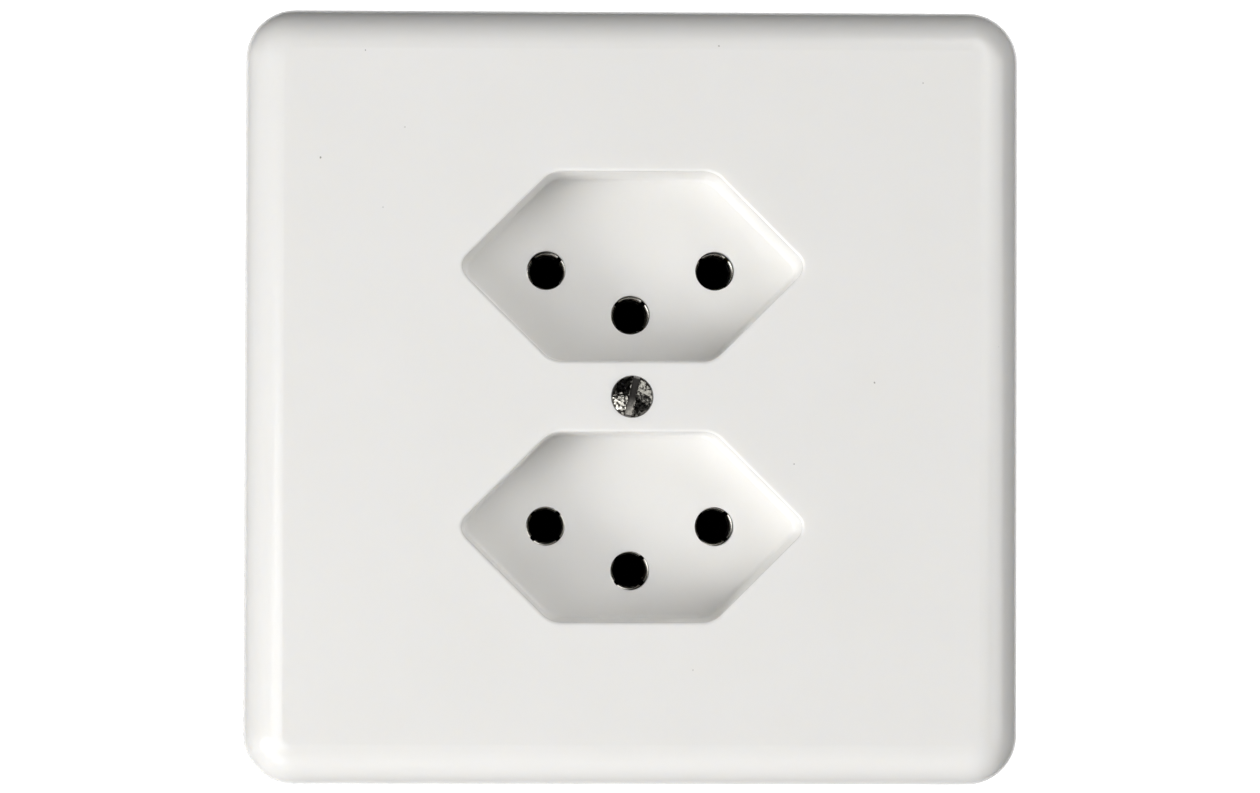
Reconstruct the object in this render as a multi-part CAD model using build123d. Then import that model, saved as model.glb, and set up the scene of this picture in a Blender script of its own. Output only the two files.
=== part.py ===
from build123d import *
import os
from math import radians, sqrt, tan

# Double flush wall socket: one moulded cover with two plug recesses, a steel support
# frame that is screwed to the wall box, and an insulating base with the contacts.
# All sizes are in millimetres. X runs to the right and Z up. The wall surface is the
# plane Y = 0 and the front looks along -Y. Heights are measured from the wall towards
# the room, so pieces inside the wall box have negative heights.

# Plug pattern
pin_pitch = 19.0
earth_offset = 5.0
pin_length = 19.0
pin_hole_diameter = 4.4

# Plug recess, a long hexagon with 45 degree ends
recess_flat = 18.0
recess_height = 21.0
recess_corner_radius = 3.0
recess_tip_radius = 1.7
recess_depth = 10.0
recess_draft = 1.0
recess_rim_radius = 0.35
recess_floor_radius = 0.4
recess_wall = 1.6
recess_floor = 1.6
recess_web = 7.8

# Cover plate
front_height = 9.0
shell_wall = 2.2
plate_edge_radius = 4.6
face_corner_radius = 1.0
rib_thickness = 1.2
rib_clearance = 0.3

# Cover screw, raised countersunk with a slot
screw_diameter = 2.5
screw_head_diameter = 4.5
screw_head_rise = 0.45
screw_slot_width = 0.7
screw_slot_depth = 0.7
screw_slot_lean = 13.0
screw_clearance = 0.1
boss_wall = 1.0
thread_clearance = 0.05

# Threaded bush that takes the cover screw
bush_diameter = 5.0
bush_length = 6.2
bush_shoulder = 0.8
bush_shoulder_length = 1.4
bush_drop = 0.2

# Support frame
box_screw_spacing = 60.0
box_slot_length = 7.0
box_slot_width = 4.2
frame_margin = 5.0
frame_gap = 2.3
frame_thickness = 1.2
frame_corner_radius = 4.0
frame_bend_radius = 0.5
window_clearance = 1.4
window_corner_radius = 2.5
leg_width = 14.0
leg_end = 4.0

# Screws through the legs of the support frame; their slots are those of the terminal screws too
frame_screw_depth = 5.4
frame_screw_diameter = 2.9
frame_screw_head_diameter = 5.4
frame_screw_head_height = 1.8
frame_screw_bite = 4.4
head_slot_width = 0.9
head_slot_depth = 1.0

# Contact sleeves
sleeve_bore = 3.6
sleeve_wall = 1.0
sleeve_lip_radius = 0.5
sleeve_slit_width = 0.6
sleeve_slit_length = 11.0
sleeve_end_wall = 1.4
pin_tip_clearance = 0.6
spigot_diameter = 3.0
spigot_head_diameter = 4.6
spigot_head_height = 0.8

# Flat spring rings that close the sleeves on the pins
ring_thickness = 0.5
ring_width = 1.6
ring_groove_depth = 0.3
ring_distance = 4.0
ring_gap = 1.2

# Contact rails
rail_thickness = 1.2
rail_width = 7.0
rail_spacing = 1.6
rail_corner_radius = 0.8
rail_bend_radius = 0.5

# Terminals
block_width = 7.0
block_height = 10.0
terminal_spread = 11.0
wire_hole_diameter = 3.2
terminal_screw_diameter = 3.5
terminal_head_diameter = 5.8
terminal_head_height = 2.2
terminal_screw_gap = 1.0
access_clearance = 0.4
wire_entry_diameter = 4.0
wire_entry_flare = 0.7

# Insulating base and its rear cover
base_front_wall = 2.0
base_wall = 3.0
base_corner_radius = 3.0
base_edge_chamfer = 0.6
chamber_web = 2.4
contact_clearance = 0.4
pocket_clearance = 0.2
joint_clearance = 0.1
rear_cover_thickness = 2.0
rear_cover_rim = 2.1
rear_cover_corner_radius = 2.0
rear_screw_diameter = 2.5
rear_screw_head_diameter = 4.7
rear_screw_bite = 6.0
rear_slot_width = 0.7
rear_slot_depth = 0.6

# Sizes that follow from those above
recess_rise = recess_height / 2
socket_pitch = recess_height + recess_web
recess_tip = recess_flat / 2 + recess_rise
frame_size = box_screw_spacing + box_slot_length + 2 * frame_margin
plate_size = frame_size + 2 * (frame_gap + shell_wall)
plate_corner_radius = plate_edge_radius + face_corner_radius
pin_hole_radius = pin_hole_diameter / 2
screw_radius = screw_diameter / 2
screw_head_radius = screw_head_diameter / 2
bush_radius = bush_diameter / 2
sleeve_radius = sleeve_bore / 2 + sleeve_wall
ring_inner_radius = sleeve_radius - ring_groove_depth + thread_clearance
ring_outer_radius = ring_inner_radius + ring_thickness
chamber_radius = ring_outer_radius + contact_clearance
access_radius = terminal_head_diameter / 2 + access_clearance

# Places seen from the front
pin_x = pin_pitch / 2
socket_heights = {"upper": socket_pitch / 2, "lower": -socket_pitch / 2}
terminal_x = pin_x + chamber_radius + chamber_web + block_width / 2
rail_end = socket_pitch / 2 + rail_width / 2
earth_terminal_z = -(rail_end + rail_spacing + block_width / 2)
base_half_width = terminal_x + block_width / 2 + pocket_clearance + base_wall
base_half_height = -earth_terminal_z + block_width / 2 + pocket_clearance + base_wall
window_half_width = recess_tip + recess_wall * sqrt(2) + window_clearance
window_half_height = base_half_height + frame_thickness

# Heights above the wall
recess_floor_level = front_height - recess_depth
base_front = recess_floor_level - recess_floor
chamber_front = base_front - base_front_wall
sleeve_front = chamber_front - contact_clearance
ring_level = sleeve_front - ring_distance
sleeve_bottom = recess_floor_level - pin_length - pin_tip_clearance
rail_front = sleeve_bottom - sleeve_end_wall
rail_back = rail_front - rail_thickness
rear_cover_front = rail_back - spigot_head_height - joint_clearance
base_back = rear_cover_front - rear_cover_thickness
block_top = rail_front + block_height
wire_level = rail_front + block_height / 2
frame_screw_level = base_front - frame_screw_depth
bush_front = base_front - bush_drop
bush_seat = bush_front - bush_length

# Contact places: each pole runs through both sockets
contacts = {}
for row, height in socket_heights.items():
    contacts[f"{row}_left"] = (-pin_x, height)
    contacts[f"{row}_right"] = (pin_x, height)
    contacts[f"{row}_earth"] = (0, height - earth_offset)

# Terminal places: two on each pole, so that the wiring can be looped through
terminals = {
    "left_upper": (-terminal_x, terminal_spread / 2),
    "left_lower": (-terminal_x, -terminal_spread / 2),
    "right_upper": (terminal_x, terminal_spread / 2),
    "right_lower": (terminal_x, -terminal_spread / 2),
    "earth_left": (-terminal_x, earth_terminal_z),
    "earth_right": (terminal_x, earth_terminal_z),
}
rear_screws = {
    "left": (-terminal_x, socket_pitch / 2),
    "right": (terminal_x, -socket_pitch / 2),
}


def slab(sketch, top, bottom):
    """A sketch seen from the front, extruded between two heights above the wall."""
    return extrude(Plane.XZ.offset(bottom) * sketch, amount=top - bottom)


def rod(place, radius, top, bottom):
    """A round bar or hole square to the wall."""
    return slab(Pos(*place) * Circle(radius), top, bottom)


def turned(profile, place=(0, 0)):
    """A turned piece square to the wall, from (radius, height) corners of half its section."""
    corners = [(radius, -height) for radius, height in profile]
    half = make_face(Polyline(*corners, close=True))
    return Pos(place[0], 0, place[1]) * revolve(half, Axis.Y)


def bar_along_x(level, z, radius, start, end):
    """A round bar or hole along X at a given height above the wall."""
    return Pos(start, -level, z) * extrude(Plane.YZ * Circle(radius), amount=end - start)


def bar_along_z(level, x, radius, start, end):
    """A round bar or hole along Z at a given height above the wall."""
    return Pos(x, -level, start) * extrude(Plane.XY * Circle(radius), amount=end - start)


def slot_cut(place, length, width, top, bottom, lean=0.0):
    """A screwdriver slot, upright before it leans over to the right."""
    return slab(Pos(*place) * Rot(0, 0, -lean) * Rectangle(width, length), top, bottom)


def recess_outline(offset):
    """The plug recess seen from the front, grown by an offset."""
    flat = recess_flat / 2 + offset * tan(radians(22.5))
    rise = recess_rise + offset
    corners = [(flat + rise, 0), (flat, rise), (-flat, rise)]
    corners += [(-x, -z) for x, z in corners]
    hexagon = make_face(Polyline(*corners, close=True))
    shoulders = hexagon.vertices().sort_by(Axis.X)[1:-1]
    hexagon = fillet(shoulders, recess_corner_radius + offset)
    left_to_right = hexagon.vertices().sort_by(Axis.X)
    return fillet([left_to_right[0], left_to_right[-1]], recess_tip_radius + offset)


def tapered_recess(offset, top, bottom):
    """The recess between two heights, narrowing with its draft from the front face down."""
    inset = (front_height - top) * tan(radians(recess_draft))
    outline = Plane.XZ.offset(top) * recess_outline(offset - inset)
    return extrude(outline, amount=top - bottom, dir=(0, 1, 0), taper=recess_draft)


def front_edges(solid):
    """The edges around the foremost face."""
    return solid.faces().sort_by(Axis.Y)[0].outer_wire().edges()


def back_edges(solid):
    """The edges around the rearmost face."""
    return solid.faces().sort_by(Axis.Y)[-1].outer_wire().edges()


def round_bend(sheet, inner_corner, inner_radius, outer_corner, outer_radius):
    """Round both sides of a fold along X in sheet metal."""
    for corner, radius in ((inner_corner, inner_radius), (outer_corner, outer_radius)):
        fold = sheet.edges().filter_by(Axis.X).sort_by_distance(corner)[0]
        sheet = fillet(fold, radius)
    return sheet


def cover_plate():
    """Moulded cover: a shallow rounded shell with both plug recesses and the screw boss."""
    inner_face = front_height - shell_wall
    inner_size = plate_size - 2 * shell_wall
    shell = slab(RectangleRounded(plate_size, plate_size, plate_corner_radius), front_height, 0)
    shell = fillet(front_edges(shell), plate_edge_radius)
    hollow_sketch = RectangleRounded(inner_size, inner_size, plate_corner_radius - shell_wall)
    hollow = slab(hollow_sketch, inner_face, 0)
    hollow = fillet(front_edges(hollow), plate_edge_radius - shell_wall)
    shell -= hollow

    # Stiffening ribs run from the recesses to the side walls, just clear of the frame
    rib_bottom = frame_thickness + rib_clearance
    upright = slab(Rectangle(rib_thickness, inner_size), inner_face, rib_bottom)
    shell += upright
    for height in socket_heights.values():
        shell += slab(Pos(0, height) * Rectangle(inner_size, rib_thickness), inner_face, rib_bottom)

    # The recess walls and the boss stand on the front of the insulating base
    boss_radius = screw_head_radius + boss_wall
    shell += rod((0, 0), boss_radius, inner_face, base_front)
    for height in socket_heights.values():
        shell += Pos(0, 0, height) * tapered_recess(recess_wall, inner_face, base_front)
    for height in socket_heights.values():
        cavity = tapered_recess(0, front_height, recess_floor_level)
        cavity = fillet(back_edges(cavity), recess_floor_radius)
        shell -= Pos(0, 0, height) * cavity
    rims = shell.faces().sort_by(Axis.Y)[0].inner_wires()
    shell = fillet([edge for rim in rims for edge in rim.edges()], recess_rim_radius)

    for place in contacts.values():
        shell -= rod(place, pin_hole_radius, recess_floor_level, base_front)
    hole_radius = screw_radius + screw_clearance
    sink_radius = screw_head_radius + screw_clearance
    sink_bottom = front_height - (sink_radius - hole_radius)
    profile = [(0, front_height), (sink_radius, front_height), (hole_radius, sink_bottom)]
    profile += [(hole_radius, base_front), (0, base_front)]
    return shell - turned(profile)


def cover_screw():
    """Slotted screw with a raised countersunk head, flush with the cover at its rim."""
    crown = front_height + screw_head_rise
    neck = front_height - (screw_head_radius - screw_radius)
    tip = bush_seat - bush_shoulder_length
    sphere = (screw_head_radius**2 + screw_head_rise**2) / (2 * screw_head_rise)
    halfway = crown - sphere + sqrt(sphere**2 - (screw_head_radius / 2) ** 2)
    dome = ThreePointArc(
        (0, -crown),
        (screw_head_radius / 2, -halfway),
        (screw_head_radius, -front_height),
    )
    flank = Polyline(
        (screw_head_radius, -front_height),
        (screw_radius, -neck),
        (screw_radius, -tip),
        (0, -tip),
        (0, -crown),
    )
    screw = revolve(make_face(Curve() + [dome, flank]), Axis.Y)
    slot_bottom = crown - screw_slot_depth
    return screw - slot_cut(
        (0, 0), screw_head_diameter, screw_slot_width, crown, slot_bottom, screw_slot_lean
    )


def screw_bush():
    """Threaded bush for the cover screw, with a shoulder that pulls against the base."""
    bore = screw_radius + thread_clearance
    shoulder = bush_radius + bush_shoulder
    end = bush_seat - bush_shoulder_length
    return turned([
        (bore, bush_front),
        (bush_radius, bush_front),
        (bush_radius, bush_seat),
        (shoulder, bush_seat),
        (shoulder, end),
        (bore, end),
    ])


def support_frame():
    """Steel frame on the wall, with slots for the box screws and two legs bent back."""
    sheet = RectangleRounded(frame_size, frame_size, frame_corner_radius)
    sheet -= RectangleRounded(2 * window_half_width, 2 * window_half_height, window_corner_radius)
    for side in (-1, 1):
        slot = SlotOverall(box_slot_length, box_slot_width)
        sheet -= Pos(side * box_screw_spacing / 2, 0) * slot
    frame = slab(sheet, frame_thickness, 0)
    leg_bottom = frame_screw_level - leg_end
    hole_radius = frame_screw_diameter / 2 + screw_clearance
    for side in (-1, 1):
        z = side * (base_half_height + frame_thickness / 2)
        leg = slab(Pos(0, z) * Rectangle(leg_width, frame_thickness), frame_thickness, leg_bottom)
        tip_edges = leg.edges().filter_by(Axis.Z).group_by(Axis.Y)[-1]
        frame += fillet(tip_edges, leg_end)
        outside = side * window_half_height
        inside = side * base_half_height
        frame -= bar_along_z(frame_screw_level, 0, hole_radius, inside, outside)
        frame = round_bend(
            frame,
            (0, 0, outside),
            frame_bend_radius,
            (0, -frame_thickness, inside),
            frame_bend_radius + frame_thickness / 2,
        )
    return frame


def frame_screw(side):
    """Screw through one leg of the frame into the top or bottom of the base."""
    seat = window_half_height
    tip = base_half_height - frame_screw_bite
    radius = frame_screw_diameter / 2
    head_radius = frame_screw_head_diameter / 2
    crown = seat + frame_screw_head_height
    screw = bar_along_z(frame_screw_level, 0, radius, tip, seat)
    screw += bar_along_z(frame_screw_level, 0, head_radius, seat, crown)
    groove = Box(frame_screw_head_diameter, head_slot_width, head_slot_depth)
    screw -= Pos(0, -frame_screw_level, crown - head_slot_depth / 2) * groove
    return screw if side > 0 else mirror(screw, Plane.XY)


def spigot(top):
    """Corners of the riveted end that holds a turned or square piece on its rail."""
    neck = spigot_diameter / 2
    head = spigot_head_diameter / 2
    end = rail_back - spigot_head_height
    return [(neck, top), (neck, rail_back), (head, rail_back), (head, end), (0, end)]


def contact_sleeve(place):
    """Slit sleeve that grips one plug pin, riveted to its rail at the back."""
    bore = sleeve_bore / 2
    groove = sleeve_radius - ring_groove_depth
    groove_half = ring_width / 2 + thread_clearance
    profile = [
        (bore, sleeve_bottom),
        (bore, sleeve_front),
        (sleeve_radius, sleeve_front),
        (sleeve_radius, ring_level + groove_half),
        (groove, ring_level + groove_half),
        (groove, ring_level - groove_half),
        (sleeve_radius, ring_level - groove_half),
        (sleeve_radius, rail_front),
    ]
    sleeve = turned(profile + spigot(rail_front) + [(0, sleeve_bottom)])
    mouth = sleeve.faces().sort_by(Axis.Y)[0].inner_wires()[0]
    sleeve = fillet(mouth.edges(), sleeve_lip_radius)
    slit_end = sleeve_front - sleeve_slit_length
    for lean in (45, -45):
        length = 2 * sleeve_radius
        sleeve -= slot_cut((0, 0), length, sleeve_slit_width, sleeve_front, slit_end, lean)
    return Pos(place[0], 0, place[1]) * sleeve


def spring_ring(place):
    """Split ring of flat spring steel in the groove of a contact sleeve."""
    ring = Circle(ring_outer_radius) - Circle(ring_inner_radius)
    ring -= Pos(0, ring_outer_radius) * Rectangle(ring_gap, 2 * ring_outer_radius)
    return slab(Pos(*place) * ring, ring_level + ring_width / 2, ring_level - ring_width / 2)


def rail_holes():
    """Holes for every riveted spigot."""
    radius = spigot_diameter / 2 + thread_clearance
    places = list(contacts.values()) + list(terminals.values())
    return Sketch() + [Pos(*place) * Circle(radius) for place in places]


def pole_outline(side, grow):
    """Flat outline of a pole's rail: a bar behind both sockets and an arm to its terminals."""
    width = rail_width + 2 * grow
    bar = Pos(side * pin_x, 0) * Rectangle(width, 2 * (rail_end + grow))
    arm_end = terminal_x + block_width / 2 + grow
    arm_start = pin_x
    arm_height = terminal_spread + block_width + 2 * grow
    middle = side * (arm_start + arm_end) / 2
    outline = bar + Pos(middle, 0) * Rectangle(arm_end - arm_start, arm_height)
    return fillet(outline.vertices(), rail_corner_radius)


def earth_outline(grow):
    """Flat outline of the earth rail, with a cross arm to its terminals."""
    top = contacts["upper_earth"][1] + rail_width / 2 + grow
    bottom = earth_terminal_z - block_width / 2 - grow
    bar = Rectangle(rail_width + 2 * grow, top - bottom)
    arm = Rectangle(2 * terminal_x + block_width + 2 * grow, block_width + 2 * grow)
    outline = Pos(0, (top + bottom) / 2) * bar + Pos(0, earth_terminal_z) * arm
    return fillet(outline.vertices(), rail_corner_radius)


def earth_strap(grow, top, bottom):
    """The end of the earth rail that is bent forward under the lower leg of the frame."""
    foot = -base_half_height
    inner = foot + rail_thickness + grow
    start = earth_terminal_z
    width = rail_width + 2 * grow
    flat = slab(Pos(0, (start + foot) / 2) * Rectangle(width, start - foot), rail_front, bottom)
    upright = slab(Pos(0, (inner + foot) / 2) * Rectangle(width, inner - foot), top, bottom)
    return flat + upright


def earth_rail():
    """Earth rail in one bent strip, from both earth sleeves to the support frame."""
    rail = slab(earth_outline(0) - rail_holes(), rail_front, rail_back)
    rail += earth_strap(0, frame_screw_level + rail_width / 2, rail_back)
    foot = -base_half_height
    rail = round_bend(
        rail,
        (0, -rail_front, foot + rail_thickness),
        rail_bend_radius,
        (0, -rail_back, foot),
        rail_bend_radius + rail_thickness,
    )
    hole_radius = frame_screw_diameter / 2 + screw_clearance
    return rail - bar_along_z(frame_screw_level, 0, hole_radius, foot, foot + rail_thickness)


def pole_rail(side):
    """Flat rail of the left or right pole."""
    return slab(pole_outline(side, 0) - rail_holes(), rail_front, rail_back)


def terminal_block(place):
    """Pillar terminal with a cross hole for the wire, riveted to its rail."""
    block = slab(Rectangle(block_width, block_width), block_top, rail_front)
    block += turned(spigot(rail_front) + [(0, rail_front)])
    half = block_width / 2
    block -= bar_along_x(wire_level, 0, wire_hole_diameter / 2, -half, half)
    thread_radius = terminal_screw_diameter / 2 + thread_clearance
    block -= rod((0, 0), thread_radius, block_top, wire_level)
    return Pos(place[0], 0, place[1]) * block


def terminal_screw(place):
    """Slotted clamping screw, backed out of the wire hole."""
    seat = block_top + terminal_screw_gap
    crown = seat + terminal_head_height
    radius = terminal_screw_diameter / 2
    head = terminal_head_diameter / 2
    tip = wire_level + wire_hole_diameter / 2
    screw = turned([(0, crown), (head, crown), (head, seat), (radius, seat), (radius, tip), (0, tip)])
    slot_bottom = crown - head_slot_depth
    screw -= slot_cut((0, 0), terminal_head_diameter, head_slot_width, crown, slot_bottom)
    return Pos(place[0], 0, place[1]) * screw


def rear_cover_outline(grow):
    """Outline of the rear cover, inside the rim of the base."""
    width = 2 * (base_half_width - rear_cover_rim + grow)
    height = 2 * (base_half_height - rear_cover_rim + grow)
    return RectangleRounded(width, height, rear_cover_corner_radius + grow)


def rear_screw_profile(grow, tip):
    """Corners of a countersunk screw in the rear cover, or of its hole when grown."""
    radius = rear_screw_diameter / 2 + grow
    head = rear_screw_head_diameter / 2 + grow
    neck = base_back + head - radius
    return [(0, base_back), (head, base_back), (radius, neck), (radius, tip), (0, tip)]


def rear_cover():
    """Insulating plate that closes the back of the base."""
    plate = slab(rear_cover_outline(-joint_clearance), rear_cover_front, base_back)
    for place in rear_screws.values():
        plate -= turned(rear_screw_profile(screw_clearance, rear_cover_front), place)
    return plate


def rear_cover_screw(place):
    """Slotted countersunk screw that holds the rear cover."""
    tip = rear_cover_front + rear_screw_bite
    screw = turned(rear_screw_profile(0, tip))
    slot_top = base_back + rear_slot_depth
    screw -= slot_cut((0, 0), rear_screw_head_diameter, rear_slot_width, slot_top, base_back)
    return Pos(place[0], 0, place[1]) * screw


def socket_base():
    """Insulating base: pin passages in front, chambers and rail pockets open at the back."""
    outline = RectangleRounded(2 * base_half_width, 2 * base_half_height, base_corner_radius)
    base = slab(outline, base_front, base_back)
    base = chamfer(front_edges(base) + back_edges(base), base_edge_chamfer)
    base -= slab(rear_cover_outline(0), rear_cover_front, base_back)
    for side in (-1, 1):
        base -= slab(pole_outline(side, pocket_clearance), rail_front, rear_cover_front)
    base -= slab(earth_outline(pocket_clearance), rail_front, rear_cover_front)

    for place in contacts.values():
        base -= rod(place, chamber_radius, chamber_front, rail_front)
        base -= rod(place, pin_hole_radius, base_front, chamber_front)

    pocket_width = block_width + 2 * pocket_clearance
    pocket_top = block_top + pocket_clearance
    for x, z in terminals.values():
        base -= slab(Pos(x, z) * Rectangle(pocket_width, pocket_width), pocket_top, rail_front)
        base -= rod((x, z), access_radius, base_front, pocket_top)
        side = base_half_width if x > 0 else -base_half_width
        base -= bar_along_x(wire_level, z, wire_entry_diameter / 2, x, side)
        mouth = Plane((side, -wire_level, z), z_dir=(-side, 0, 0))
        entry = wire_entry_diameter / 2
        base -= mouth * Pos(0, 0, wire_entry_flare / 2) * Cone(
            entry + wire_entry_flare, entry, wire_entry_flare
        )

    # The earth strap lies in a groove of the lower wall, flush under the leg
    base -= earth_strap(pocket_clearance, base_front, base_back)
    bend_corner = (0, -rail_front, rail_thickness + pocket_clearance - base_half_height)
    bend_edge = base.edges().filter_by(Axis.X).sort_by_distance(bend_corner)[0]
    base = chamfer(bend_edge, rail_bend_radius)
    for side in (-1, 1):
        wall = side * base_half_height
        bottom = side * (base_half_height - frame_screw_bite - joint_clearance)
        base -= bar_along_z(
            frame_screw_level, 0, frame_screw_diameter / 2 + thread_clearance, bottom, wall
        )

    bush_hole = bush_radius + joint_clearance
    shoulder_hole = bush_radius + bush_shoulder + joint_clearance
    base -= rod((0, 0), bush_hole, base_front, bush_seat)
    base -= rod((0, 0), shoulder_hole, bush_seat, rail_front)
    for place in rear_screws.values():
        tip = rear_cover_front + rear_screw_bite + joint_clearance
        base -= rod(place, rear_screw_diameter / 2 + thread_clearance, tip, rear_cover_front)
    return base


nodes = {
    "cover_plate": cover_plate(),
    "cover_screw": cover_screw(),
    "screw_bush": screw_bush(),
    "support_frame": support_frame(),
    "upper_frame_screw": frame_screw(1),
    "lower_frame_screw": frame_screw(-1),
    "socket_base": socket_base(),
    "rear_cover": rear_cover(),
    "left_pole_rail": pole_rail(-1),
    "right_pole_rail": pole_rail(1),
    "earth_rail": earth_rail(),
}
for name, place in contacts.items():
    nodes[f"{name}_sleeve"] = contact_sleeve(place)
    nodes[f"{name}_spring_ring"] = spring_ring(place)
for name, place in terminals.items():
    nodes[f"{name}_terminal"] = terminal_block(place)
    nodes[f"{name}_terminal_screw"] = terminal_screw(place)
for name, place in rear_screws.items():
    nodes[f"{name}_rear_cover_screw"] = rear_cover_screw(place)

os.makedirs("parts", exist_ok=True)
for name, node in nodes.items():
    export_step(node, f"parts/{name}.step")
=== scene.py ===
import math

import bpy
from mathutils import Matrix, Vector


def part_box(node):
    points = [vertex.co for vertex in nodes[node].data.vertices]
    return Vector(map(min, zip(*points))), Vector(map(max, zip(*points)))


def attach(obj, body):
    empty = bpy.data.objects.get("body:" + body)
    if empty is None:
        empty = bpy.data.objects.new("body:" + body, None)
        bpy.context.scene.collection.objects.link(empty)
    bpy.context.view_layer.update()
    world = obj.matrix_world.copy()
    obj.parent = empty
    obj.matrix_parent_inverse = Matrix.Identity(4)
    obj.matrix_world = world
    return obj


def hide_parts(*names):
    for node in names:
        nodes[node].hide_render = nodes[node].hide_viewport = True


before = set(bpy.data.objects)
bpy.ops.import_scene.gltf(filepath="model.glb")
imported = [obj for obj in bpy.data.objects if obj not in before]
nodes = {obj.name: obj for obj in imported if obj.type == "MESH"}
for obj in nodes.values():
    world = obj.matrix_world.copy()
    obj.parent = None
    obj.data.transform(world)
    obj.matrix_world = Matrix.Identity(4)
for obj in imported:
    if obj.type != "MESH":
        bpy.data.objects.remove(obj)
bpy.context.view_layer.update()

# Contact sleeves: six slit tubes, each riveted to its rail, that grip the pins of a plug.
# Turned from brass rod and tin-plated, so the mouth is a grey metal and not a yellow one.
# The pins polish the mouth; further down the plating is duller, and its colour is painted darker
# towards near black as painted shade inside the hole.


def linear(code):
    """Linear colour of an sRGB hex value."""
    parts = [int(code[i:i + 2], 16) / 255 for i in (1, 3, 5)]
    return [p / 12.92 if p <= 0.04045 else ((p + 0.055) / 1.055) ** 2.4 for p in parts] + [1.0]


def per_metre(millimetres):
    """How many features of that size lie along a metre, which is a texture's scale."""
    return 1000 / millimetres


def node(tree, kind, inputs=(), **settings):
    """Adds a node; an input, by name or number, gets a value, a socket or a node's output."""
    made = tree.nodes.new("ShaderNode" + kind)
    for name, value in settings.items():
        setattr(made, name, value)
    for key, value in dict(inputs).items():
        if isinstance(key, int):
            socket = made.inputs[key]
        else:
            socket = next(s for s in made.inputs if s.enabled and s.name == key)
        if isinstance(value, bpy.types.Node):
            value = next(s for s in value.outputs if s.enabled)
        if isinstance(value, bpy.types.NodeSocket):
            tree.links.new(value, socket)
        else:
            socket.default_value = value
    return made


def new_finish(name):
    """An empty material, its node tree and the Object coordinates that its patterns read."""
    material = bpy.data.materials.new(name)
    material.use_nodes = True
    material.node_tree.nodes.clear()
    place = node(material.node_tree, "TexCoord").outputs["Object"]
    return material, material.node_tree, place


def dress(material, names):
    """Gives CAD nodes their finish."""
    for name in names:
        slots = nodes[name].data.materials
        slots.clear()
        slots.append(material)


polished_to, dark_and_dull_from = 0.0056, 0.0085
tinned_brass, tree, place = new_finish("tinned_brass")
depth = node(tree, "SeparateXYZ", {"Vector": place}).outputs["Y"]
# This mask darkens the colour as painted shade and raises the roughness, deeper in the bore.
shade_and_dullness = node(
    tree,
    "MapRange",
    {"Value": depth, "From Min": polished_to, "From Max": dark_and_dull_from},
    interpolation_type="SMOOTHSTEP",
)
along_bore = node(tree, "Mapping", {"Vector": place, "Scale": (1, 0.08, 1)})
pin_marks = node(
    tree, "TexNoise", {"Vector": along_bore, "Scale": per_metre(0.25), "Detail": 3.0}
)
tin = node(
    tree,
    "Mix",
    {"Factor": pin_marks, "A": linear("#A9A69E"), "B": linear("#D2CFC8")},
    data_type="RGBA",
)
# Painted shade: deeper in the bore the tin's colour is mixed towards near black.
tin_with_painted_shade = node(
    tree, "Mix", {"Factor": shade_and_dullness, "A": tin, "B": linear("#1E1B17")}, data_type="RGBA"
)
dullness = node(tree, "MapRange", {"Value": shade_and_dullness, "To Min": 0.24, "To Max": 0.7})
shader = node(
    tree,
    "BsdfPrincipled",
    {"Base Color": tin_with_painted_shade, "Metallic": 1.0, "Roughness": dullness},
)
node(tree, "OutputMaterial", {"Surface": shader})
dress(tinned_brass, [n for n in nodes if n.endswith("_sleeve")])

# Spring rings: a flat split band snapped into the groove round each sleeve.
# Hardened spring steel, rolled and tempered, which leaves it blue-grey with brown patches.

spring_steel, tree, place = new_finish("tempered_spring_steel")
temper = node(tree, "TexNoise", {"Vector": place, "Scale": per_metre(1.5), "Detail": 2.0})
tempered = node(
    tree,
    "Mix",
    {"Factor": temper, "A": linear("#55585E"), "B": linear("#74695A")},
    data_type="RGBA",
)
shader = node(
    tree, "BsdfPrincipled", {"Base Color": tempered, "Metallic": 1.0, "Roughness": 0.34}
)
node(tree, "OutputMaterial", {"Surface": shader})
dress(spring_steel, [n for n in nodes if n.endswith("_spring_ring")])

# Rails, terminals and bush: the two poles' rails and the earth rail with its bent strap, six
# terminal blocks riveted to them, and the bush for the cover screw.
# The rails are stamped from rolled brass strip, the blocks milled from bar; both are left bare
# and tarnish in patches. The tool's lines run along the strip, and across the blocks.


def brass_finish(name, grain):
    """Bare brass with tool lines; grain scales the axes, small along the lines."""
    material, tree, place = new_finish(name)
    along = node(tree, "Mapping", {"Vector": place, "Scale": grain})
    lines = node(
        tree, "TexNoise", {"Vector": along, "Scale": per_metre(0.15), "Detail": 2.0}
    )
    tarnish = node(
        tree, "TexNoise", {"Vector": place, "Scale": per_metre(4.0), "Detail": 4.0}
    )
    patches = node(tree, "MapRange", {"Value": tarnish, "From Min": 0.42, "From Max": 0.68})
    colour = node(
        tree,
        "Mix",
        {"Factor": patches, "A": linear("#CDA962"), "B": linear("#9E7A3E")},
        data_type="RGBA",
    )
    dullness = node(tree, "MapRange", {"Value": lines, "To Min": 0.2, "To Max": 0.46})
    scored = node(
        tree, "Bump", {"Height": lines, "Strength": 0.5, "Distance": 0.00001}
    )
    shader = node(
        tree,
        "BsdfPrincipled",
        {"Base Color": colour, "Metallic": 1.0, "Roughness": dullness, "Normal": scored},
    )
    node(tree, "OutputMaterial", {"Surface": shader})
    return material


dress(
    brass_finish("rolled_brass_strip", (1, 1, 0.05)), [n for n in nodes if n.endswith("_rail")]
)
dress(
    brass_finish("milled_brass", (0.05, 1, 1)),
    ["screw_bush"] + [n for n in nodes if n.endswith("_terminal")],
)

# Zinc-plated steel: the support frame, stamped and bent from sheet, and the screws of the
# frame, the terminals and the rear cover.
# Bright electroplating with a clear passivation: a cool grey with faint warm patches.

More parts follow.
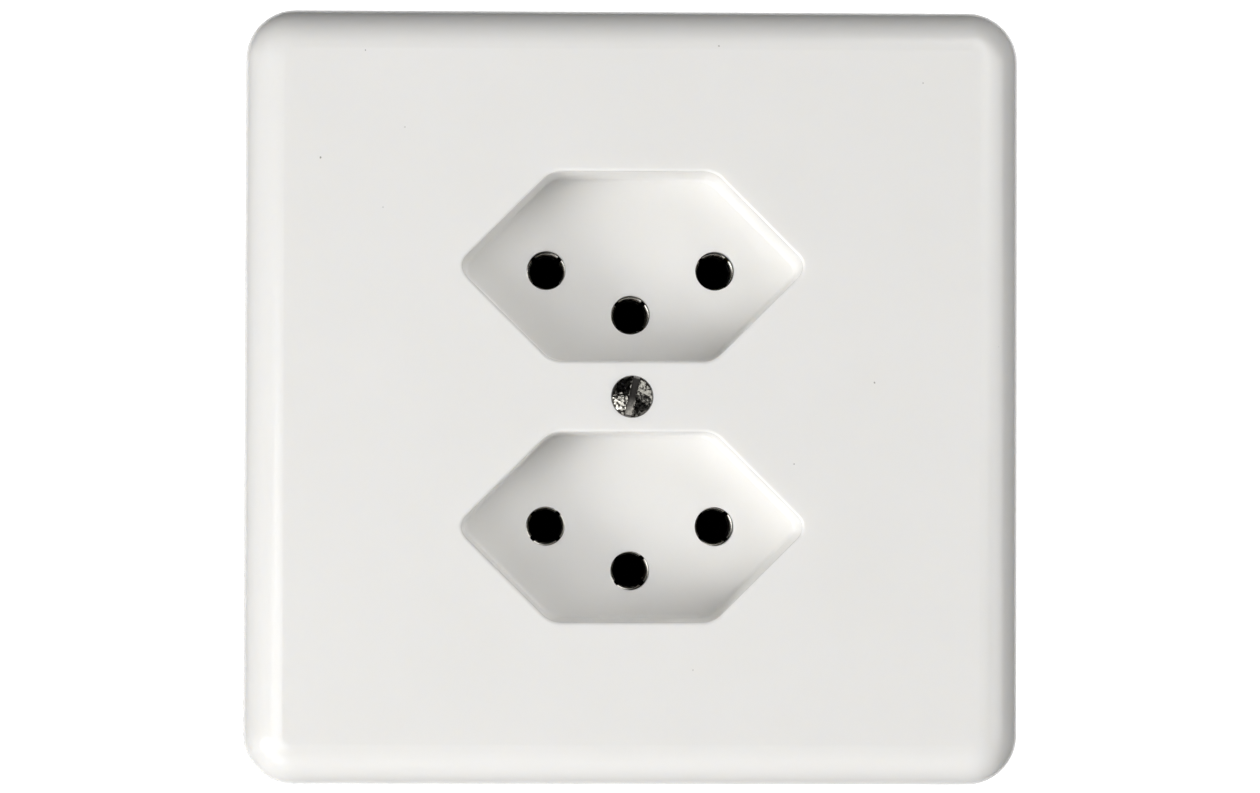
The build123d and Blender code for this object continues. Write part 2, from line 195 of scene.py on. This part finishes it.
zinc, tree, place = new_finish("zinc_plated_steel")
along_sheet = node(tree, "Mapping", {"Vector": place, "Scale": (0.06, 1, 1)})
rolling = node(
    tree, "TexNoise", {"Vector": along_sheet, "Scale": per_metre(0.2), "Detail": 2.0}
)
bath = node(tree, "TexNoise", {"Vector": place, "Scale": per_metre(6.0), "Detail": 5.0})
tint = node(tree, "MapRange", {"Value": bath, "From Min": 0.35, "From Max": 0.7})
colour = node(
    tree,
    "Mix",
    {"Factor": tint, "A": linear("#B1B7BE"), "B": linear("#C4BFB0")},
    data_type="RGBA",
)
dullness = node(tree, "MapRange", {"Value": rolling, "To Min": 0.24, "To Max": 0.44})
grained = node(tree, "Bump", {"Height": rolling, "Strength": 0.4, "Distance": 0.00001})
shader = node(
    tree,
    "BsdfPrincipled",
    {"Base Color": colour, "Metallic": 1.0, "Roughness": dullness, "Normal": grained},
)
node(tree, "OutputMaterial", {"Surface": shader})
screw_kinds = ("frame_screw", "terminal_screw", "rear_cover_screw")
dress(zinc, ["support_frame"] + [n for n in nodes if n.endswith(screw_kinds)])

# Socket base: one block with the six contact chambers, the terminal pockets and the wire entries.
# Compression-moulded phenolic resin, black, filled with wood flour that shows as a fine brown
# mottle. The mould leaves it satin, a little duller where the resin flowed last.

phenolic, tree, place = new_finish("black_phenolic")
filler = node(tree, "TexNoise", {"Vector": place, "Scale": per_metre(0.5), "Detail": 3.0})
flow = node(tree, "TexNoise", {"Vector": place, "Scale": per_metre(9.0), "Detail": 2.0})
mottle = node(tree, "MapRange", {"Value": filler, "From Min": 0.5, "From Max": 0.75})
colour = node(
    tree,
    "Mix",
    {"Factor": mottle, "A": linear("#161514"), "B": linear("#2A241F")},
    data_type="RGBA",
)
dullness = node(tree, "MapRange", {"Value": flow, "To Min": 0.32, "To Max": 0.52})
skin = node(tree, "Bump", {"Height": filler, "Strength": 0.35, "Distance": 0.00002})
shader = node(
    tree,
    "BsdfPrincipled",
    {"Base Color": colour, "Roughness": dullness, "IOR": 1.6, "Normal": skin},
)
node(tree, "OutputMaterial", {"Surface": shader})
dress(phenolic, ["socket_base"])

# Rear cover: the plate that closes the contact chambers from behind, held by two screws.
# Punched from laminated paper board, brown from its resin. The paper's fibres show on its face
# and its layers, 0.15 mm each, on its cut edge.

board, tree, place = new_finish("laminated_paper_board")
along_fibre = node(tree, "Mapping", {"Vector": place, "Scale": (0.12, 1, 1)})
fibres = node(
    tree, "TexNoise", {"Vector": along_fibre, "Scale": per_metre(0.35), "Detail": 4.0}
)
layer = 0.15
layers = node(
    tree,
    "TexWave",
    {"Vector": place, "Scale": per_metre(layer) / (2 * math.pi), "Distortion": 0.6},
    bands_direction="Y",
)
resin = node(
    tree,
    "Mix",
    {"Factor": fibres, "A": linear("#4E2F17"), "B": linear("#8A5B33")},
    data_type="RGBA",
)
colour = node(
    tree,
    "Mix",
    {"Factor": 0.25, "A": resin, "B": layers},
    data_type="RGBA",
    blend_type="SOFT_LIGHT",
)
pressed = node(tree, "Bump", {"Height": fibres, "Strength": 0.3, "Distance": 0.00003})
shader = node(
    tree,
    "BsdfPrincipled",
    {"Base Color": colour, "Roughness": 0.42, "IOR": 1.55, "Normal": pressed},
)
node(tree, "OutputMaterial", {"Surface": shader})
dress(board, ["rear_cover"])

# Cover plate: the white front with its two hexagonal recesses, one moulding.
# Compression-moulded urea resin: glossy, less so in the recesses, faintly warm, a little uneven
# and letting some light through. A few specks of dirt sit on it, each given as its place on the
# front and its radius. The seat of the screw is darkened as painted shade in the gap round its
# head.

urea, tree, place = new_finish("moulded_urea_resin")
specks = [
    (-34.45, 0.0, 26.26, 0.15),
    (-27.56, 0.0, 20.81, 0.08),
    (-29.56, 0.0, 38.15, 0.09),
    (-25.17, 0.0, 29.66, 0.08),
    (32.08, 0.0, 34.81, 0.09),
    (9.48, 0.05, 38.80, 0.12),
    (40.49, 0.63, 5.64, 0.14),
    (26.76, 0.0, 1.63, 0.14),
    (17.88, 0.0, -7.39, 0.1),
    (6.78, 0.0, -30.12, 0.09),
    (23.65, 0.98, -40.95, 0.15),
    (39.80, 0.31, -1.57, 0.09),
]
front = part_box("cover_plate")[0].y
seat_shade_inner, seat_shade_outer = 0.00232, 0.0024
rim_top, rim_foot = front + 0.0003, front + 0.0012
recess_reach = 0.032
duller = 0.25
ragged = node(tree, "TexNoise", {"Vector": place, "Scale": per_metre(0.2)})
nearest = 2.0
for x, drop, z, radius in specks:
    spot = (x / 1000, front + drop / 1000, z / 1000)
    away = node(tree, "VectorMath", {0: place, 1: spot}, operation="DISTANCE").outputs["Value"]
    in_radii = node(tree, "Math", {0: away, 1: 1000 / radius}, operation="MULTIPLY")
    nearest = node(tree, "Math", {0: in_radii, 1: nearest}, operation="MINIMUM")
from_screw = node(
    tree,
    "VectorMath",
    {0: node(tree, "Mapping", {"Vector": place, "Scale": (1, 0, 1)})},
    operation="LENGTH",
).outputs["Value"]
# Painted shade: a dark ring in the seat of the screw, the gap round its head.
seat_shade = node(
    tree,
    "MapRange",
    {
        "Value": from_screw,
        "From Min": seat_shade_inner,
        "From Max": seat_shade_outer,
        "To Min": 0.2,
        "To Max": 2.0,
    },
)
nearest = node(tree, "Math", {0: nearest, 1: seat_shade}, operation="MINIMUM")
edge = node(tree, "Math", {0: nearest, 1: ragged}, operation="ADD")
# The dark mix covers the dirt specks and the painted shade in the screw's seat.
specks_and_seat_shade = node(
    tree,
    "MapRange",
    {"Value": edge, "From Min": 0.75, "From Max": 1.45, "To Min": 0.75, "To Max": 0.0},
)
grain = node(tree, "TexNoise", {"Vector": place, "Scale": per_metre(0.3), "Detail": 1.0})
cloud = node(tree, "TexNoise", {"Vector": place, "Scale": per_metre(14.0), "Detail": 2.0})
clouded = node(
    tree,
    "Mix",
    {"Factor": cloud, "A": linear("#EEEDEA"), "B": linear("#F0EFED")},
    data_type="RGBA",
)
grained = node(
    tree,
    "Mix",
    {"Factor": 0.02, "A": clouded, "B": grain},
    data_type="RGBA",
    blend_type="OVERLAY",
)
colour = node(
    tree, "Mix", {"Factor": specks_and_seat_shade, "A": grained, "B": linear("#3B352D")}, data_type="RGBA"
)
polish = node(tree, "MapRange", {"Value": cloud, "To Min": 0.18, "To Max": 0.24})
depth = node(tree, "SeparateXYZ", {"Vector": place}).outputs["Y"]
deep = node(tree, "MapRange", {"Value": depth, "From Min": rim_top, "From Max": rim_foot})
within = node(tree, "Math", {0: from_screw, 1: recess_reach}, operation="LESS_THAN")
in_recess = node(tree, "Math", {0: deep, 1: within}, operation="MULTIPLY")
gloss = node(tree, "Math", {0: in_recess, 1: duller, 2: polish}, operation="MULTIPLY_ADD")
mould = node(tree, "TexNoise", {"Vector": place, "Scale": per_metre(2.2), "Detail": 1.0})
moulded = node(tree, "Bump", {"Height": mould, "Strength": 0.1, "Distance": 0.00004})
shader = node(
    tree,
    "BsdfPrincipled",
    {
        "Base Color": colour,
        "Roughness": gloss,
        "IOR": 1.54,
        "Normal": moulded,
        "Subsurface Weight": 0.6,
        "Subsurface Radius": (1.0, 0.95, 0.85),
        "Subsurface Scale": 0.0012,
    },
)
node(tree, "OutputMaterial", {"Surface": shader})
dress(urea, ["cover_plate"])

# Cover screw: raised countersunk, with a slot; it holds the cover to the bush in the base.
# Turned steel, nickel-plated. The turning lines ring the head, so it shines in two opposite
# sectors; the driver has burred the slot's edges and pitted the plating.

lowest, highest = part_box("cover_screw")
head_radius = highest.x
head_rise = front - lowest.y
shank_radius = 0.00125
tip_bevel = 0.0003
shank_end = highest.y
slot_width = 0.0007
slot_depth = 0.0007
slot_lean = math.radians(13)
crown = front - head_rise
slot_floor = crown + slot_depth
sphere = (head_radius**2 + head_rise**2) / (2 * head_rise)


def dome(point):
    """Level of the domed head over a point."""
    span = min(math.hypot(point.x, point.z), sphere / 2)
    return crown + sphere - math.sqrt(sphere**2 - span**2)


rim_middle = head_radius - 0.00015
rim_reach = 0.0001
rim_fall = rim_reach * math.tan(math.radians(32))
rim_level = dome(Vector((rim_middle, 0, 0)))
rim_edge = 0.00007
outline = [
    (rim_middle - rim_reach, rim_level - rim_fall),
    (rim_middle + rim_reach, rim_level + rim_fall),
    (head_radius, front + rim_edge),
    (shank_radius, front + head_radius - shank_radius),
    (shank_radius, shank_end - tip_bevel),
    (shank_radius - tip_bevel, shank_end),
]
clear_of_crown = crown - 0.0002
radius, level = outline[0][0], clear_of_crown
bpy.ops.object.select_all(action="DESELECT")
bpy.ops.mesh.primitive_circle_add(
    vertices=128,
    radius=radius,
    fill_type="NGON",
    location=(0, level, 0),
    rotation=(math.pi / 2, 0, 0),
)
blank = bpy.context.object
bpy.ops.object.transform_apply(location=True, rotation=True, scale=True)
bpy.ops.object.mode_set(mode="EDIT")
bpy.ops.mesh.select_mode(type="EDGE")
bpy.ops.mesh.select_all(action="DESELECT")
bpy.ops.mesh.select_non_manifold()
for next_radius, next_level in outline:
    bpy.ops.mesh.extrude_region_move(
        TRANSFORM_OT_translate={"value": (0, next_level - level, 0)}
    )
    ratio = next_radius / radius
    bpy.ops.transform.resize(value=(ratio, 1, ratio), center_override=(0, next_level, 0))
    radius, level = next_radius, next_level
bpy.ops.mesh.edge_face_add()
bpy.ops.mesh.select_all(action="SELECT")
bpy.ops.mesh.normals_make_consistent(inside=False)
bpy.ops.object.mode_set(mode="OBJECT")


def across_slot(point):
    """How far a point lies to the side of the slot's middle."""
    return abs(point.x * math.cos(slot_lean) - point.z * math.sin(slot_lean))


def pick(mesh, parts, wanted):
    """Selects the faces or edges whose corners are all wanted, and nothing else."""
    for group in (mesh.polygons, mesh.edges, mesh.vertices):
        for part in group:
            part.select = False
    for part in parts:
        part.select = all(wanted(mesh.vertices[corner].co) for corner in part.vertices)


cell = 0.0001
cells = 51
burr_width = 0.00008
burr_height = 0.000025
bpy.ops.object.select_all(action="DESELECT")
bpy.ops.mesh.primitive_grid_add(
    x_subdivisions=cells,
    y_subdivisions=cells,
    size=cells * cell,
    location=(0, front, 0),
    rotation=(math.pi / 2, slot_lean, 0),
)
screw = bpy.context.object
screw.name = "worn_cover_screw"
bpy.ops.object.transform_apply(location=True, rotation=True, scale=True)
bpy.ops.object.mode_set(mode="EDIT")
bpy.ops.mesh.select_all(action="SELECT")
bpy.ops.mesh.extrude_region_move(
    TRANSFORM_OT_translate={"value": (0, 2 * shank_end - front, 0)}
)
bpy.ops.mesh.select_all(action="SELECT")
bpy.ops.mesh.normals_make_consistent(inside=False)
bpy.ops.object.mode_set(mode="OBJECT")
pick(
    screw.data,
    screw.data.polygons,
    lambda corner: corner.y < front + cell / 2 and across_slot(corner) < (slot_width + cell) / 2,
)
bpy.ops.object.mode_set(mode="EDIT")
bpy.ops.mesh.extrude_region_move(
    TRANSFORM_OT_translate={"value": (0, slot_floor - front, 0)}
)
bpy.ops.object.mode_set(mode="OBJECT")
for vertex in screw.data.vertices:
    if vertex.co.y < front + cell / 2:
        vertex.co.y = dome(vertex.co)
pick(
    screw.data,
    screw.data.edges,
    lambda corner: corner.y < slot_floor - cell
    and abs(across_slot(corner) - slot_width / 2) < cell / 10,
)
bpy.ops.object.mode_set(mode="EDIT")
bpy.ops.mesh.select_mode(type="EDGE")
bpy.ops.mesh.bevel(offset=burr_width, segments=2, affect="EDGES")
bpy.ops.transform.vertex_random(offset=burr_height, seed=5)
bpy.ops.object.mode_set(mode="OBJECT")
trim = screw.modifiers.new("turned_outline", "BOOLEAN")
trim.operation = "INTERSECT"
trim.solver = "EXACT"
trim.object = blank
bpy.context.view_layer.objects.active = screw
bpy.ops.object.modifier_apply(modifier=trim.name)
bpy.data.objects.remove(blank)
bpy.ops.object.select_all(action="DESELECT")
screw.select_set(True)
bpy.ops.object.shade_smooth_by_angle(angle=math.radians(32))

nickel, tree, place = new_finish("nickel_plated_steel")
dents = node(
    tree, "TexVoronoi", {"Vector": place, "Scale": per_metre(0.5), "Randomness": 1.0}
)
pits = node(tree, "TexNoise", {"Vector": place, "Scale": per_metre(0.35), "Detail": 1.0})
relief = node(tree, "Math", {0: dents, 1: pits}, operation="ADD")
beaten = node(tree, "Bump", {"Height": relief, "Strength": 0.6, "Distance": 0.00007})
worn = node(tree, "MapRange", {"Value": pits, "From Min": 0.46, "From Max": 0.58})
colour = node(
    tree,
    "Mix",
    {"Factor": worn, "A": linear("#929089"), "B": linear("#2D2B29")},
    data_type="RGBA",
)
dullness = node(tree, "MapRange", {"Value": pits, "To Min": 0.22, "To Max": 0.34})
turning = node(tree, "Tangent", direction_type="RADIAL", axis="Y")
shader = node(
    tree,
    "BsdfPrincipled",
    {
        "Base Color": colour,
        "Metallic": 1.0,
        "Roughness": dullness,
        "Normal": beaten,
        "Anisotropic": 0.9,
        "Anisotropic Rotation": 0.25,
        "Tangent": turning,
    },
)
node(tree, "OutputMaterial", {"Surface": shader})
slot_foot = -0.0018
sawn, tree, place = new_finish("sawn_steel_with_dust")
cuts = node(tree, "TexNoise", {"Vector": place, "Scale": per_metre(0.3), "Detail": 2.0})
low = node(tree, "SeparateXYZ", {"Vector": place}).outputs["Z"]
settled = node(
    tree, "MapRange", {"Value": low, "From Min": 0.0, "From Max": slot_foot, "To Max": 1.4}
)
dusty = node(tree, "Math", {0: settled, 1: cuts}, operation="MULTIPLY")
colour = node(
    tree,
    "Mix",
    {"Factor": dusty, "A": linear("#4A4846"), "B": linear("#D4D0C7")},
    data_type="RGBA",
)
bare = node(tree, "MapRange", {"Value": dusty, "From Max": 0.3, "To Min": 0.9, "To Max": 0.1})
scored = node(tree, "Bump", {"Height": cuts, "Strength": 0.4, "Distance": 0.00004})
shader = node(
    tree,
    "BsdfPrincipled",
    {"Base Color": colour, "Metallic": bare, "Roughness": 0.5, "Normal": scored},
)
node(tree, "OutputMaterial", {"Surface": shader})
screw.data.materials.append(nickel)
screw.data.materials.append(sawn)
for face in screw.data.polygons:
    below_dome = face.center.y - dome(face.center)
    in_slot = across_slot(face.center) < (slot_width + cell) / 2
    if in_slot and below_dome > cell and face.center.y < slot_floor + cell / 10:
        face.material_index = 1
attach(screw, "root")
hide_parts("cover_screw")

# Floor: the plain pale floor of the room, as far below as under a socket at hand height, a
# little lifted to the eye. The wall is left out, so that the back can be seen too.

floor_drop = 1.1
floor_size = 2.4
floor_glow = 0.5
bpy.ops.object.select_all(action="DESELECT")
bpy.ops.mesh.primitive_plane_add(size=floor_size, location=(0, 0, -floor_drop))
floor = bpy.context.object
floor.name = "floor"
bpy.ops.object.transform_apply(location=True)
paint, tree, place = new_finish("floor_paint")
dust = node(tree, "TexNoise", {"Vector": place, "Scale": per_metre(60.0), "Detail": 3.0})
pale = node(
    tree,
    "Mix",
    {"Factor": dust, "A": linear("#E6E5E2"), "B": linear("#EDECEA")},
    data_type="RGBA",
)
shader = node(tree, "BsdfPrincipled", {"Base Color": pale, "Roughness": 0.8})
rays = node(tree, "LightPath")
seen = node(
    tree,
    "Math",
    {0: rays.outputs["Is Camera Ray"], 1: rays.outputs["Is Glossy Ray"]},
    operation="ADD",
)
seen = node(
    tree,
    "Math",
    {0: seen, 1: rays.outputs["Is Transmission Ray"]},
    operation="ADD",
    use_clamp=True,
)
lift = node(tree, "Math", {0: seen, 1: floor_glow}, operation="MULTIPLY")
glow = node(tree, "Emission", {"Color": linear("#FFFFFF"), "Strength": lift})
lifted = node(tree, "AddShader", {0: shader, 1: glow})
node(tree, "OutputMaterial", {"Surface": lifted})
floor.data.materials.append(paint)

# Light: soft boxes round the camera in a dark room, with a white sheet hung behind the socket.
# The key stands low on the left, and one nearer the lens draws the line of light down the left
# edge. Each is given by its angle off the plate's axis, its angle round it, its width in metres
# and its watts. The sheet, which reaches 41 degrees off the axis, lights the back.

sheet_reach = 0.75
sheet_strength = 1.2
world = bpy.data.worlds.new("studio")
bpy.context.scene.world = world
world.use_nodes = True
tree = world.node_tree
tree.nodes.clear()
rays = node(tree, "LightPath")
direction = node(tree, "TexCoord").outputs["Generated"]
behind = node(
    tree,
    "Math",
    {0: node(tree, "SeparateXYZ", {"Vector": direction}).outputs["Y"], 1: sheet_reach},
    operation="GREATER_THAN",
)
mirrored = node(
    tree,
    "Math",
    {0: rays.outputs["Is Glossy Ray"], 1: rays.outputs["Is Transmission Ray"]},
    operation="ADD",
)
mirrored = node(tree, "Math", {0: mirrored, 1: behind}, operation="MULTIPLY")
shown = node(
    tree, "Math", {0: rays.outputs["Is Camera Ray"], 1: mirrored}, operation="ADD", use_clamp=True
)
sheet_light = node(tree, "Math", {0: behind, 1: sheet_strength}, operation="MULTIPLY")
strength = node(tree, "Math", {0: shown, 1: sheet_light}, operation="MAXIMUM")
sheet = node(tree, "Background", {"Color": linear("#FFFFFF"), "Strength": strength})
node(tree, "OutputWorld", {"Surface": sheet})

soft_boxes = {
    "key": (60, 208, 0.42, 4.7),
    "key_inner": (50, 208, 0.42, 2.5),
    "glint": (27, 208, 0.5, 2.15),
    "low": (60, 240, 0.42, 1.1),
    "right": (60, 0, 0.6, 1.85),
    "right_high": (45, 30, 0.6, 1.05),
    "front_right": (30, 22, 0.42, 0.77),
    "front_high": (38, 60, 0.42, 1.37),
}
lamp_distance = 1.0
for name, (off, turn, width, watts) in soft_boxes.items():
    off, turn = math.radians(off), math.radians(turn)
    towards = Vector(
        (math.sin(off) * math.cos(turn), -math.cos(off), math.sin(off) * math.sin(turn))
    )
    bpy.ops.object.light_add(
        type="AREA",
        location=towards * lamp_distance,
        rotation=(-towards).to_track_quat("-Z", "Y").to_euler(),
    )
    lamp = bpy.context.object
    lamp.name = name
    lamp.data.shape = "DISK"
    lamp.data.size = width
    lamp.data.energy = watts

# Camera: a long lens half a metre in front, a little left of and below the middle.

bpy.ops.object.camera_add(
    location=(-0.0116, -0.48958, -0.01087),
    rotation=[math.radians(angle) for angle in (91.1456, -0.1635, -1.2812)],
)
camera = bpy.context.object
camera.data.sensor_fit = "HORIZONTAL"
camera.data.sensor_width = 36
camera.data.lens = 124.53
camera.data.shift_x = 0.00453
camera.data.shift_y = 0.00906
camera.data.clip_start = 0.01
bpy.context.scene.camera = camera
bpy.context.scene.view_settings.view_transform = "Standard"
